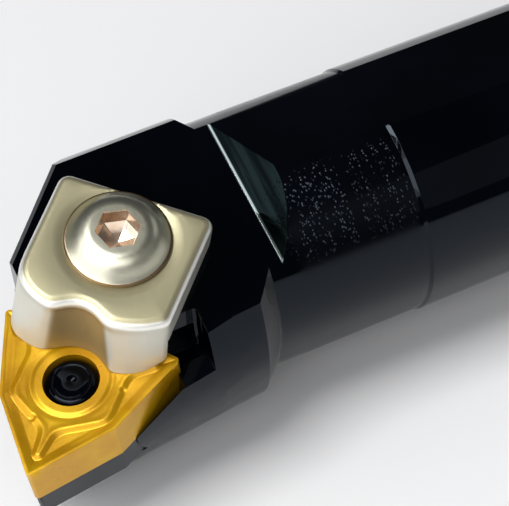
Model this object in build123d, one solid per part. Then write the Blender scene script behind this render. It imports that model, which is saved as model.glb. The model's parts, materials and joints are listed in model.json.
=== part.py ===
from build123d import *
from math import cos, radians, sin, tan
import os

os.makedirs("parts", exist_ok=True)

# Bar, lengths measured back from the insert's nose
OVERALL_LENGTH = 200.0
SHANK_RADIUS = 12.5
ACROSS_FLATS = 23.2
END_CHAMFER = 1.5
NECK_RELIEF = 0.2
NECK_END = 42.1
STEP_BEVEL = 0.35

# Head: a round body that swings toward the cutting side and grows toward the nose
HEAD_BASE_STATION = 26.65
HEAD_REAR_RADIUS = 13.64
HEAD_REAR_Y = -0.61
HEAD_REAR_Z = 0.1
SHOULDER_RISE = 8.0
SHOULDER_RUN = 8.8
HEAD_FRONT_STATION = 4.5
HEAD_FRONT_RADIUS = 14.6
HEAD_FRONT_Y = -1.4
HEAD_FRONT_Z = -0.8
NOSE_END_STATION = 0.8
NOSE_END_RADIUS = 13.5

# Clamp seat: the sloped flat on top of the head
SEAT_TILT = 19.5
SEAT_HEIGHT = 9.955
SEAT_END_STATION = 28.0
SEAT_WALL_SLOPE = 46.5
SIDE_CUT_OFFSET = 6.75
SIDE_CUT_BEVEL = 0.8
FACE_STATION = 5.75

# Points that go with the seat: station, across the bar, and height from the seat's own height
DIP_REAR = (21.6, -13.5, -4.785)
DIP_INNER = (18.9, -12.5, -4.425)
DIP_LOW = (19.0, -14.4, -5.505)
INSERT_CENTRE = (6.749, -10.776, -7.791)
LIP_FRONT = (8.93, -15.01, -14.685)
LIP_REAR = (15.8, -15.0, -9.455)

# Insert: six sided, three 80 degree corners
INSERT_NORMAL = (-0.1045, -0.2237, 0.9690)
INSERT_TOWARD_NOSE = (-0.7154, -0.6599, -0.2295)
INSCRIBED_RADIUS = 6.35
CORNER_ANGLE = 80.0
NOSE_RADIUS = 0.4
INSERT_THICKNESS = 4.76
INSERT_HOLE_RADIUS = 2.58
HOLE_BEVEL = 0.15
LAND_WIDTH = 0.9
GROOVE_WIDTH = 1.3
GROOVE_DEPTH = 0.25

# Shim under the insert
SHIM_THICKNESS = 3.18
SHIM_INSET = 0.12
SHIM_HOLE_RADIUS = 2.75

# Pocket in the head
WALL_CLEARANCE = 0.02
SIDE_CLEARANCE = 0.1
FRONT_INSET = 0.6
BEND_RELIEF_RADIUS = 0.8
NOTCH_REAR_STATION = 18.9
NOTCH_FRONT_STATION = 14.6
NOTCH_INNER_Y = -11.6
NOTCH_FLOOR_DEPTH = 1.75
NOTCH_CORNER_RADIUS = 0.4
LIP_SLOPE = 53.5
LIP_CLEARANCE = 0.05

# Lock pin
PIN_RADIUS = 2.5
PIN_TOP_DEPTH = 0.25
PIN_TOP_BEVEL = 0.4
DIMPLE_RADIUS = 0.45
DIMPLE_TIP_RADIUS = 0.05
DIMPLE_DEPTH = 0.3
PIN_THREAD_RADIUS = 2.45
PIN_LENGTH = 13.2

# Clamp, in the seat's plane from the screw: along runs toward the pin, across runs square to it
SCREW_STATION = 14.7
SCREW_ACROSS_SEAT = -4.85
CLAMP_TURN = 225.0
CLAMP_THICKNESS = 3.2
FOOT_DEPTH = 5.5
HEEL_LEFT = (-4.75, -7.2)
HEEL_RIGHT = (-5.45, 6.8)
TOP_SIDE_RIGHT = (5.0, 6.4)
TOP_OUTER_RIGHT = (6.4, 5.2)
TOP_INNER_RIGHT = (7.6, 2.6)
TOP_INNER_LEFT = (7.85, -3.0)
TOP_OUTER_LEFT = (7.2, -5.3)
TOP_SIDE_LEFT = (5.6, -7.2)
FOOT_SIDE_RIGHT = (6.8, 7.8)
FOOT_OUTER_RIGHT = (9.4, 6.2)
FOOT_INNER_RIGHT = (10.1, 3.2)
FOOT_INNER_LEFT = (9.25, -3.5)
FOOT_OUTER_LEFT = (8.85, -5.85)
FOOT_SIDE_LEFT = (7.2, -7.8)
HEEL_CORNER_RADIUS = 1.6
HEEL_FRONT = 0.0
FRONT_CORNER_RADIUS = 2.2
CLAMP_EDGE_RADIUS = 0.9
NOTCH_EDGE_RADIUS = 1.0
NOTCH_ACROSS = -0.6
NOTCH_TOP_ALONG = 9.5
NOTCH_TOP_RADIUS = 2.5
NOTCH_FOOT_ALONG = 12.35
NOTCH_FOOT_RADIUS = 4.0
FOOT_GAP = 0.35
SPOT_FACE_RADIUS = 5.9
SPOT_FACE_DEPTH = 0.12

# Clamp screw
SCREW_RADIUS = 2.45
SCREW_LENGTH = 16.2
SCREW_TIP_BEVEL = 0.6
SCREW_HEAD_RADIUS = 4.8
SCREW_RIM_HEIGHT = 0.35
SCREW_HEAD_HEIGHT = 1.95
SCREW_FACE_RADIUS = 2.5
SCREW_DOME_RADIUS = 4.09
SCREW_DOME_HEIGHT = 1.39
KEY_SIZE = 3.57
KEY_DEPTH = 1.7

# Spring that lifts the clamp when the screw is loosened
SPRING_WIRE_RADIUS = 0.35
SPRING_RADIUS = 3.35
SPRING_TURNS = 4.0
SPRING_BORE_RADIUS = 4.1
SPRING_BORE_DEPTH = 4.2
SPRING_END_GAP = 0.1

# Fits
RUNNING_CLEARANCE = 0.05
PASS_CLEARANCE = 0.3
BLIND_HOLE_EXTRA = 0.8
REACH = 60.0
SAME_PLACE = 0.01

CORNER_REACH = INSCRIBED_RADIUS / sin(radians(CORNER_ANGLE / 2))
BEND_ANGLE = 240.0 - CORNER_ANGLE
BEND_REACH = INSCRIBED_RADIUS / sin(radians(BEND_ANGLE / 2))
NECK_RADIUS = SHANK_RADIUS - NECK_RELIEF

seat_level = Vector(0, 0, SEAT_HEIGHT)
dip_rear, dip_inner, dip_low = (seat_level + Vector(*point) for point in (DIP_REAR, DIP_INNER, DIP_LOW))
lip_front, lip_rear = seat_level + Vector(*LIP_FRONT), seat_level + Vector(*LIP_REAR)
insert_plane = Plane(
    origin=seat_level + Vector(*INSERT_CENTRE), x_dir=INSERT_TOWARD_NOSE, z_dir=INSERT_NORMAL
)
seat_normal = Vector(0, -sin(radians(SEAT_TILT)), cos(radians(SEAT_TILT)))
seat_plane = Plane(origin=seat_level, x_dir=(1, 0, 0), z_dir=seat_normal)
screw_plane = Plane(
    origin=seat_plane.from_local_coords(Vector(SCREW_STATION, SCREW_ACROSS_SEAT, 0)),
    x_dir=seat_plane.from_local_coords(
        Vector(cos(radians(CLAMP_TURN)), sin(radians(CLAMP_TURN)), 0)
    ) - seat_plane.origin,
    z_dir=seat_normal,
)


def corner_point(index):
    """Corner or bend of the insert outline, counted from the nose."""
    reach = BEND_REACH if index % 2 else CORNER_REACH
    angle = radians(60 * index)
    return Vector(reach * cos(angle), reach * sin(angle))


def insert_outline(inset):
    """Outline of the insert, or one drawn in from it."""
    face = make_face(Polyline([corner_point(i) for i in range(6)], close=True))
    if inset:
        face = offset(face, amount=-inset, kind=Kind.INTERSECTION)
    corners = sorted(face.vertices(), key=lambda v: Vector(*v).length)[-3:]
    return fillet(corners, NOSE_RADIUS)


def insert_slab(sketch, top, thickness, taper=0.0):
    """Slab with its top a given depth below the rake face."""
    return extrude(insert_plane.offset(-top) * sketch, -thickness, taper=taper)


def above(plane):
    """Everything above a plane."""
    return plane * Box(4 * REACH, 4 * REACH, 2 * REACH, align=(Align.CENTER, Align.CENTER, Align.MIN))


def round_section(station, centre_y, centre_z, radius):
    """Upright circle across the bar."""
    plane = Plane(origin=(station, centre_y, centre_z), x_dir=(0, 1, 0), z_dir=(1, 0, 0))
    return plane * Circle(radius)


def side_line(start, end, shift):
    """Straight line of the insert outline moved outward, as a point and a direction."""
    direction = (end - start).normalized()
    outward = Vector(direction.Y, -direction.X)
    return start + outward * shift, direction


def crossing(first, second):
    """Point where two lines cross."""
    (p, d), (q, e) = first, second
    along = ((q.X - p.X) * e.Y - (q.Y - p.Y) * e.X) / (d.X * e.Y - d.Y * e.X)
    return p + d * along


def pocket_space(wall_shift, side_shift, top=REACH):
    """Room for the shim and the insert, open toward the nose."""
    right_wall = side_line(corner_point(2), corner_point(3), wall_shift)
    left_wall = side_line(corner_point(3), corner_point(4), wall_shift)
    near_side = side_line(corner_point(1), corner_point(2), side_shift)
    bend = crossing(right_wall, left_wall)
    corner = crossing(right_wall, near_side)
    points = [
        bend,
        corner,
        corner - near_side[1] * REACH,
        Vector(2 * REACH, REACH),
        Vector(2 * REACH, -2 * REACH),
        left_wall[0] + left_wall[1] * REACH,
    ]
    outline = make_face(Polyline(points, close=True))
    floor = -INSERT_THICKNESS - SHIM_THICKNESS
    return extrude(insert_plane.offset(floor) * outline, top - floor)


def shank():
    body = Pos((OVERALL_LENGTH + NECK_END) / 2, 0, 0) * Rot(0, 90, 0) * Cylinder(
        SHANK_RADIUS, OVERALL_LENGTH - NECK_END
    )
    front, rear = body.edges().filter_by(GeomType.CIRCLE).sort_by(Axis.X)
    body = chamfer(rear, END_CHAMFER)
    front = body.edges().filter_by(GeomType.CIRCLE).sort_by(Axis.X)[0]
    return chamfer(front, STEP_BEVEL, NECK_RELIEF)


def head_and_neck():
    neck = Pos((HEAD_BASE_STATION + NECK_END) / 2, 0, 0) * Rot(0, 90, 0) * Cylinder(
        NECK_RADIUS, NECK_END - HEAD_BASE_STATION
    )
    rear = round_section(HEAD_BASE_STATION, HEAD_REAR_Y, HEAD_REAR_Z, HEAD_REAR_RADIUS)
    front = round_section(HEAD_FRONT_STATION, HEAD_FRONT_Y, HEAD_FRONT_Z, HEAD_FRONT_RADIUS)
    end = round_section(NOSE_END_STATION, HEAD_FRONT_Y, HEAD_FRONT_Z, NOSE_END_RADIUS)
    head = loft([rear, front], ruled=True) + loft([front, end], ruled=True)
    shoulder_rear = round_section(HEAD_BASE_STATION, 0, 0, NECK_RADIUS)
    shoulder_front = round_section(HEAD_BASE_STATION - SHOULDER_RUN, 0, 0, NECK_RADIUS + SHOULDER_RISE)
    limit = loft([shoulder_rear, shoulder_front], ruled=True) + extrude(shoulder_front, -HEAD_BASE_STATION)
    return neck + (head & limit)


def seat_cut():
    """What is milled away above the clamp seat, up to its sloped rear wall."""
    lean = radians(SEAT_WALL_SLOPE)
    wall_point = seat_plane.from_local_coords(Vector(SEAT_END_STATION, 0, 0))
    wall_normal = Vector(-sin(lean), 0, 0) + seat_normal * cos(lean)
    across = (0, cos(radians(SEAT_TILT)), sin(radians(SEAT_TILT)))
    wall = Plane(origin=wall_point, x_dir=across, z_dir=wall_normal)
    return above(seat_plane) & above(wall)


def side_cut():
    """Upright cut at 45 degrees beside the insert, with its bevelled top edge."""
    outward = Vector(-1, 1, 0).normalized()
    face = Plane(origin=(SIDE_CUT_OFFSET, 0, 0), x_dir=(1, 1, 0), z_dir=outward)
    edge_point = seat_plane.origin + Vector(SIDE_CUT_OFFSET, 0, 0) - outward * SIDE_CUT_BEVEL
    along = (Vector(1, 1, tan(radians(SEAT_TILT)))).normalized()
    bevel = Plane(origin=edge_point, x_dir=along, z_dir=(outward + seat_normal).normalized())
    return above(face) + above(bevel)


def front_cut():
    """What is cut away in front of the seat, just behind the insert's cutting sides."""
    nose_side = side_line(corner_point(5), corner_point(6), -FRONT_INSET)
    left_side = side_line(corner_point(4), corner_point(5), -FRONT_INSET)
    bend = crossing(nose_side, left_side)
    points = [
        bend - left_side[1] * REACH,
        bend,
        bend + nose_side[1] * REACH,
        Vector(REACH, REACH),
        Vector(2 * REACH, -REACH),
        Vector(0, -2 * REACH),
    ]
    outline = make_face(Polyline(points, close=True))
    return extrude(insert_plane * outline, REACH, both=True)


def head_face_cut():
    """Upright cut that ends the head beside the insert's far corner."""
    block = Pos(FACE_STATION - REACH, 0, 0) * Box(2 * REACH, 4 * REACH, 4 * REACH)
    return block & above(insert_plane.offset(-INSERT_THICKNESS - SHIM_THICKNESS))


def lip_cut():
    """Bevel on the inside of the thin lip beside the insert."""
    run = lip_rear - lip_front
    inward = Vector(0, cos(radians(LIP_SLOPE)), -sin(radians(LIP_SLOPE)))
    normal = run.cross(inward).normalized()
    start = lip_front - normal * LIP_CLEARANCE
    bevel = above(Plane(origin=start, x_dir=run, z_dir=normal))
    start, direction = side_line(corner_point(1), corner_point(2), 0)
    edge_start, edge_end, beside = (
        insert_plane.from_local_coords(point)
        for point in (start, start + direction, start + Vector(direction.Y, -direction.X))
    )
    beyond_side = above(Plane(origin=edge_start, x_dir=edge_end - edge_start, z_dir=beside - edge_start))
    ahead = Pos(lip_rear.X - REACH, 0, 0) * Box(2 * REACH, 4 * REACH, 4 * REACH)
    return bevel & beyond_side & ahead


def corner_notch():
    """Open notch beyond the insert's near corner."""
    length = NOTCH_REAR_STATION - NOTCH_FRONT_STATION
    outline = Rectangle(length, REACH, align=(Align.MIN, Align.MAX))
    outline = fillet(outline.vertices().group_by(Axis.Y)[-1], NOTCH_CORNER_RADIUS)
    block = extrude(Pos(NOTCH_FRONT_STATION, NOTCH_INNER_Y, -REACH) * outline, 2 * REACH)
    return block & above(insert_plane.offset(-NOTCH_FLOOR_DEPTH))


def corner_dip():
    """Small slope that takes the seat's near edge down to the notch."""
    run = dip_rear - dip_inner
    plane = Plane(origin=dip_inner, x_dir=run, z_dir=(dip_low - dip_inner).cross(run))
    return above(plane) & (Pos(dip_rear.X - REACH, 0, 0) * Box(2 * REACH, 2 * REACH, 2 * REACH))


def bar():
    body = shank() + head_and_neck()
    between_flats = Box(4 * OVERALL_LENGTH, 4 * REACH, ACROSS_FLATS)
    ahead = Pos(HEAD_BASE_STATION - REACH, 0, 0) * Box(2 * REACH, 2 * REACH, 2 * REACH)
    body &= between_flats + ahead
    body -= seat_cut()
    body -= side_cut()
    body -= front_cut()
    body -= pocket_space(WALL_CLEARANCE, SIDE_CLEARANCE)
    body -= head_face_cut()
    relief = insert_plane * Pos(corner_point(3).X, 0, -INSERT_THICKNESS - SHIM_THICKNESS) * Cylinder(
        BEND_RELIEF_RADIUS, 2 * REACH, align=(Align.CENTER, Align.CENTER, Align.MIN)
    )
    body -= relief
    body -= lip_cut()
    body -= corner_notch()
    body -= corner_dip()
    body -= screw_hole()
    body -= pin_hole()
    return body


def hole(plane, radius, top, depth):
    """Round hole down along a plane's normal."""
    return plane.offset(-top) * Cylinder(radius, depth, align=(Align.CENTER, Align.CENTER, Align.MAX))


def screw_hole():
    tip_depth = SCREW_LENGTH - CLAMP_THICKNESS
    thread = hole(screw_plane, SCREW_RADIUS + RUNNING_CLEARANCE, 0, tip_depth + BLIND_HOLE_EXTRA)
    return thread + hole(screw_plane, SPRING_BORE_RADIUS, 0, SPRING_BORE_DEPTH)


def pin_hole():
    depth = PIN_LENGTH + PIN_TOP_DEPTH + BLIND_HOLE_EXTRA
    return hole(insert_plane, PIN_THREAD_RADIUS + RUNNING_CLEARANCE, 0, depth)


def shim():
    plate = insert_slab(insert_outline(SHIM_INSET), INSERT_THICKNESS, SHIM_THICKNESS)
    return plate - hole(insert_plane, SHIM_HOLE_RADIUS, 0, REACH)


def chip_groove():
    """Shallow moat between the cutting edge's land and the raised middle."""
    outer = insert_slab(insert_outline(LAND_WIDTH), 0, GROOVE_DEPTH, taper=45)
    inner = insert_slab(insert_outline(LAND_WIDTH + GROOVE_WIDTH), 0, GROOVE_DEPTH, taper=-45)
    return outer - inner


def insert():
    slab = insert_slab(insert_outline(0), 0, INSERT_THICKNESS)
    bore = hole(insert_plane, INSERT_HOLE_RADIUS, -1, REACH)
    top_bevel = insert_plane * Cone(
        INSERT_HOLE_RADIUS,
        INSERT_HOLE_RADIUS + HOLE_BEVEL,
        HOLE_BEVEL,
        align=(Align.CENTER, Align.CENTER, Align.MAX),
    )
    slab -= bore
    slab -= top_bevel
    return slab - chip_groove()


def lock_pin():
    threaded_top = INSERT_THICKNESS + SHIM_THICKNESS
    plane = insert_plane.offset(-PIN_TOP_DEPTH)
    smooth = plane * Cylinder(
        PIN_RADIUS, threaded_top - PIN_TOP_DEPTH, align=(Align.CENTER, Align.CENTER, Align.MAX)
    )
    threaded = insert_plane.offset(-threaded_top) * Cylinder(
        PIN_THREAD_RADIUS,
        PIN_LENGTH + PIN_TOP_DEPTH - threaded_top,
        align=(Align.CENTER, Align.CENTER, Align.MAX),
    )
    keep = plane.offset(-PIN_TOP_BEVEL) * Cone(
        PIN_RADIUS,
        PIN_RADIUS - PIN_TOP_BEVEL,
        PIN_TOP_BEVEL,
        align=(Align.CENTER, Align.CENTER, Align.MIN),
    )
    smooth = smooth & (keep + hole(plane, PIN_RADIUS, PIN_TOP_BEVEL, REACH))
    dimple = plane * Cone(
        DIMPLE_TIP_RADIUS, DIMPLE_RADIUS, DIMPLE_DEPTH, align=(Align.CENTER, Align.CENTER, Align.MAX)
    )
    return smooth + threaded - dimple


def clamp_outline(side_right, outer_right, inner_right, inner_left, outer_left, side_left):
    """Plan of the clamp at one height: square heel and a rounded front for the two feet."""
    points = [HEEL_LEFT, HEEL_RIGHT, side_right, outer_right, inner_right, inner_left, outer_left, side_left]
    sketch = make_face(Polyline(points, close=True))
    sketch = fillet(sketch.vertices().sort_by(Axis.X)[:2], HEEL_CORNER_RADIUS)
    return fillet([v for v in sketch.vertices() if v.X > HEEL_FRONT], FRONT_CORNER_RADIUS)


def clamp_notch():
    """Leaning round notch between the feet, clear of the insert's hole."""
    top = screw_plane.offset(CLAMP_THICKNESS) * Pos(NOTCH_TOP_ALONG, NOTCH_ACROSS) * Circle(NOTCH_TOP_RADIUS)
    foot = screw_plane.offset(-FOOT_DEPTH) * Pos(NOTCH_FOOT_ALONG, NOTCH_ACROSS) * Circle(NOTCH_FOOT_RADIUS)
    return loft([foot, top], ruled=True)


def clamp():
    top = screw_plane.offset(CLAMP_THICKNESS) * clamp_outline(
        TOP_SIDE_RIGHT, TOP_OUTER_RIGHT, TOP_INNER_RIGHT, TOP_INNER_LEFT, TOP_OUTER_LEFT, TOP_SIDE_LEFT
    )
    foot = screw_plane.offset(-FOOT_DEPTH) * clamp_outline(
        FOOT_SIDE_RIGHT, FOOT_OUTER_RIGHT, FOOT_INNER_RIGHT, FOOT_INNER_LEFT, FOOT_OUTER_LEFT, FOOT_SIDE_LEFT
    )
    body = loft([foot, top], ruled=True) - clamp_notch()
    corners = [e for e in body.edges() if on_notch_corner(e)]
    body = fillet(corners, NOTCH_EDGE_RADIUS)
    body = fillet([e for e in body.edges() if on_clamp_top(e)], CLAMP_EDGE_RADIUS)
    under_seat = above(Plane(origin=seat_plane.origin, x_dir=(1, 0, 0), z_dir=seat_normal * -1))
    body -= under_seat - pocket_space(-FOOT_GAP, REACH)
    body = body & (above(insert_plane) + above(screw_plane))
    body -= hole(screw_plane, SCREW_RADIUS + PASS_CLEARANCE, -REACH, 2 * REACH)
    body -= hole(screw_plane, SPOT_FACE_RADIUS, -REACH, REACH - CLAMP_THICKNESS + SPOT_FACE_DEPTH)
    return body


def on_clamp_top(edge):
    """True for the edges round the clamp's top face."""
    height = screw_plane.to_local_coords(edge.center()).Z
    return abs(height - CLAMP_THICKNESS) < SAME_PLACE


def on_notch_corner(edge):
    """True for the two long edges where the notch meets the clamp's front."""
    low, high = sorted((screw_plane.to_local_coords(edge @ i) for i in (0, 1)), key=lambda p: p.Z)
    between_feet = TOP_INNER_LEFT[1] < high.Y < TOP_INNER_RIGHT[1]
    return high.Z - low.Z > FOOT_DEPTH and between_feet


def clamp_screw():
    base = screw_plane.offset(CLAMP_THICKNESS - SPOT_FACE_DEPTH)
    rim = (SCREW_HEAD_RADIUS, SCREW_RIM_HEIGHT)
    face = (SCREW_FACE_RADIUS, SCREW_HEAD_HEIGHT)
    shaft = Polyline(
        face,
        (0, SCREW_HEAD_HEIGHT),
        (0, -SCREW_LENGTH),
        (SCREW_RADIUS - SCREW_TIP_BEVEL, -SCREW_LENGTH),
        (SCREW_RADIUS, SCREW_TIP_BEVEL - SCREW_LENGTH),
        (SCREW_RADIUS, 0),
        (SCREW_HEAD_RADIUS, 0),
        rim,
    )
    dome = ThreePointArc(rim, (SCREW_DOME_RADIUS, SCREW_DOME_HEIGHT), face)
    solid = revolve(Plane.XZ * make_face([shaft, dome]), Axis.Z)
    key = RegularPolygon(KEY_SIZE / 2, 6, major_radius=False)
    socket = extrude(Pos(0, 0, SCREW_HEAD_HEIGHT) * key, -KEY_DEPTH)
    return base * (solid - socket)


def clamp_spring():
    free_height = SPRING_BORE_DEPTH - 2 * SPRING_END_GAP - 2 * SPRING_WIRE_RADIUS
    coil = Helix(free_height / SPRING_TURNS, free_height, SPRING_RADIUS)
    wire = Plane(origin=coil @ 0, z_dir=coil % 0) * Circle(SPRING_WIRE_RADIUS)
    solid = sweep(wire, path=coil)
    return screw_plane.offset(SPRING_END_GAP + SPRING_WIRE_RADIUS - SPRING_BORE_DEPTH) * solid


pieces = {
    "bar": bar,
    "shim": shim,
    "insert": insert,
    "lock_pin": lock_pin,
    "clamp": clamp,
    "clamp_screw": clamp_screw,
    "clamp_spring": clamp_spring,
}
for name, make in pieces.items():
    solid = Pos(-OVERALL_LENGTH, 0, 0) * make()
    export_step(solid, f"parts/{name}.step")
    print(name, round(solid.volume, 2), len(solid.solids()), solid.is_valid)
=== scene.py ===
"""Boring bar with a clamped carbide insert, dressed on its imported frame.

Sizes are written in millimetres and placed in metres. Each sub-assembly builds its own meshes and
gives them their finish; the studio adds the floor, the lamps and the camera.
"""
import json
import logging
import math
from collections.abc import Iterable, Mapping
from dataclasses import dataclass, field
from enum import Enum
from typing import Any, Union

import bmesh
import bpy
from mathutils import Matrix, Vector

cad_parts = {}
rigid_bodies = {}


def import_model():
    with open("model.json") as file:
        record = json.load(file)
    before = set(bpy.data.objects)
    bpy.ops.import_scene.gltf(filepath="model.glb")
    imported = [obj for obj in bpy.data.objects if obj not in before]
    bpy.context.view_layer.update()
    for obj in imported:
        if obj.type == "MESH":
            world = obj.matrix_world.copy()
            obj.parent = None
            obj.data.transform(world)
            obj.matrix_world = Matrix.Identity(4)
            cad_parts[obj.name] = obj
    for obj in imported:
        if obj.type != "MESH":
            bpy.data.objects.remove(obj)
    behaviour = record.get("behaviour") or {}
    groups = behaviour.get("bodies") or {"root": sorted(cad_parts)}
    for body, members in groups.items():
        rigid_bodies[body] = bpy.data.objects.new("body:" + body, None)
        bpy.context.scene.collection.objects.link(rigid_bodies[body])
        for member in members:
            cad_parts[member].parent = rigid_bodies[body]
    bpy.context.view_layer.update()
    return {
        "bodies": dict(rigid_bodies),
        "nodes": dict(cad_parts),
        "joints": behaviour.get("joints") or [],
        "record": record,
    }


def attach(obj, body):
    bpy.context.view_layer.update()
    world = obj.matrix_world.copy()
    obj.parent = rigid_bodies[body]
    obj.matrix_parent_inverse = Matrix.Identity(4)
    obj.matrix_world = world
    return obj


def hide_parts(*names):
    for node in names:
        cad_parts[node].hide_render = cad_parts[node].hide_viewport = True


MM = 0.001
MERGE = 1e-5
LOG = logging.getLogger("boring_bar")

Pair = tuple[float, float]
Triple = tuple[float, float, float]
Colour = Triple
Level = tuple[float, float, list[Vector]]
Operand = Union["Wire", float, tuple, Vector]


class Body(Enum):
    """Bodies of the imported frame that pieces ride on."""

    BAR = "bar_body"
    CLAMP = "clamp_body"
    SCREW = "screw_body"


class Slot(Enum):
    """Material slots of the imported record."""

    STEEL = "black_steel"
    SHIM = "dark_carbide"
    INSERT = "gold_carbide"
    PIN = "black_pin"
    CLAMP = "satin_clamp"
    SCREW = "polished_screw"
    SPRING = "spring_steel"


class Wire:
    """A shader socket that takes part in Python arithmetic."""

    def __init__(self, recipe: "Recipe", socket: bpy.types.NodeSocket) -> None:
        """Wraps one output socket of a recipe's tree."""
        self.recipe = recipe
        self.socket = socket

    def _math(self, operation: str, *operands: Operand) -> "Wire":
        """Adds one Math node on the operands."""
        return self.recipe.node("ShaderNodeMath", {"operation": operation}, dict(enumerate(operands)))

    def __add__(self, other: Operand) -> "Wire":
        """Sum."""
        return self._math("ADD", self, other)

    def __radd__(self, other: Operand) -> "Wire":
        """Sum, number first."""
        return self._math("ADD", other, self)

    def __sub__(self, other: Operand) -> "Wire":
        """Difference."""
        return self._math("SUBTRACT", self, other)

    def __rsub__(self, other: Operand) -> "Wire":
        """Difference, number first."""
        return self._math("SUBTRACT", other, self)

    def __mul__(self, other: Operand) -> "Wire":
        """Product."""
        return self._math("MULTIPLY", self, other)

    def __rmul__(self, other: Operand) -> "Wire":
        """Product, number first."""
        return self._math("MULTIPLY", other, self)

    def __truediv__(self, other: Operand) -> "Wire":
        """Quotient."""
        return self._math("DIVIDE", self, other)

    def __pow__(self, other: Operand) -> "Wire":
        """Power."""
        return self._math("POWER", self, other)

    def size(self) -> "Wire":
        """Value without its sign."""
        return self._math("ABSOLUTE", self)

    def step(self, start: float, end: float, low: float = 0.0, high: float = 1.0) -> "Wire":
        """Smooth change from low to high between two values."""
        sockets = {0: self, 1: start, 2: end, 3: low, 4: high}
        return self.recipe.node("ShaderNodeMapRange", {"interpolation_type": "SMOOTHSTEP"}, sockets)


class Recipe:
    """One node tree, grown through a single method that adds any node."""

    def __init__(self, tree: bpy.types.NodeTree) -> None:
        """Starts from an empty tree."""
        tree.nodes.clear()
        self.tree = tree

    def node(
        self,
        kind: str,
        settings: Mapping[str, Any] | None = None,
        sockets: Mapping[int | str, Operand] | None = None,
        output: int | str = 0,
    ) -> Wire:
        """Adds a node.

        Args:
            kind: Type of the node.
            settings: Its own properties, which are set first.
            sockets: Values or links of its input sockets.
            output: The output socket that is handed back.

        Returns:
            The chosen output, ready for arithmetic.
        """
        made = self.tree.nodes.new(kind)
        for name, value in (settings or {}).items():
            setattr(made, name, value)
        for name, value in (sockets or {}).items():
            if isinstance(value, Wire):
                self.tree.links.new(value.socket, made.inputs[name])
            else:
                made.inputs[name].default_value = value
        return Wire(self, made.outputs[output] if made.outputs else made.inputs[0])

    def place(self) -> Wire:
        """Object coordinates of the surface."""
        return self.node("ShaderNodeTexCoord", output="Object")

    def axes(self, vector: Operand) -> tuple[Wire, Wire, Wire]:
        """The three parts of a vector."""
        split = self.node("ShaderNodeSeparateXYZ", None, {0: vector})
        return tuple(Wire(self, socket) for socket in split.socket.node.outputs)

    def dot(self, vector: Operand, axis: Operand) -> Wire:
        """Length of a vector along an axis."""
        return self.node("ShaderNodeVectorMath", {"operation": "DOT_PRODUCT"}, {0: vector, 1: axis}, "Value")

    def stretch(self, vector: Operand, scale: Triple) -> Wire:
        """Coordinates scaled by their own amount on each axis."""
        return self.node("ShaderNodeMapping", None, {"Vector": vector, "Scale": scale})

    def noise(self, vector: Operand, scale: float, detail: float = 3.0, roughness: float = 0.5) -> Wire:
        """Soft noise from 0 to 1."""
        sockets = {"Vector": vector, "Scale": scale, "Detail": detail, "Roughness": roughness}
        return self.node("ShaderNodeTexNoise", None, sockets, "Fac")

    def cells(self, vector: Operand) -> Wire:
        """Distance from the nearest middle in a field of cells."""
        return self.node("ShaderNodeTexVoronoi", None, {"Vector": vector, "Scale": 1.0}, "Distance")

    def blend(self, factor: Operand, first: Operand, second: Operand) -> Wire:
        """Mixes two colours.

        Args:
            factor: Share of the second colour.
            first: One colour.
            second: The other colour.

        Returns:
            The mixed colour.
        """
        settings = {"data_type": "RGBA", "clamp_factor": True}
        first, second = (c if isinstance(c, Wire) else (*c, 1.0) for c in (first, second))
        return self.node("ShaderNodeMix", settings, {0: factor, 6: first, 7: second}, 2)

    def bump(self, height: Operand, distance: float) -> Wire:
        """Normal from a height whose full range stands for a distance in metres."""
        return self.node("ShaderNodeBump", None, {"Height": height, "Distance": distance, "Strength": 1.0})


@dataclass(frozen=True)
class Seat:
    """The clamp's own axes: along toward the pin, across, and up from the seat."""

    tilt: float = 19.5
    turn: float = 225.0
    screw: Triple = (-185.3, -4.5718, 8.336)

    def axes(self) -> tuple[Vector, Vector, Vector]:
        """Directions in the frame.

        Returns:
            Along the clamp, across it and up from the seat.
        """
        tilt, turn = math.radians(self.tilt), math.radians(self.turn)
        up = Vector((0, -math.sin(tilt), math.cos(tilt)))
        slope = Vector((0, math.cos(tilt), math.sin(tilt)))
        along = Vector((1, 0, 0)) * math.cos(turn) + slope * math.sin(turn)
        return along, up.cross(along), up

    def placing(self, lift: float = 0.0) -> Matrix:
        """Turns millimetres on the seat into the frame's metres.

        Args:
            lift: Height above the seat that the local origin has.

        Returns:
            The placing matrix.
        """
        axes = self.axes()
        turn = Matrix(axes).transposed().to_4x4()
        return Matrix.Scale(MM, 4) @ Matrix.Translation(Vector(self.screw) + axes[2] * lift) @ turn


@dataclass(frozen=True)
class Notch:
    """Round notch between the clamp's feet: place along and radius at the top face and at the feet."""

    top: Pair = (9.5, 2.5)
    foot: Pair = (12.35, 4.2)
    across: float = -0.45

    def circle(self, down: Operand) -> list[Operand]:
        """Place along and radius at a share of the way down, a number or a shader value."""
        return [high + (low - high) * down for high, low in zip(self.top, self.foot)]


class Finish:
    """Base of the finishes: names a material and grows its shader."""

    name = "finish"

    def material(self) -> bpy.types.Material:
        """Makes the material, or hands back the one already made.

        Returns:
            The finished material.
        """
        known = bpy.data.materials.get(self.name)
        if known:
            return known
        material = bpy.data.materials.new(self.name)
        material.use_nodes = True
        recipe = Recipe(material.node_tree)
        shader = self.shade(recipe)
        recipe.node("ShaderNodeOutputMaterial", None, {"Surface": shader})
        return material

    def shade(self, recipe: Recipe) -> Wire:
        """Grows the shader; each finish has its own."""
        raise NotImplementedError


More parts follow.
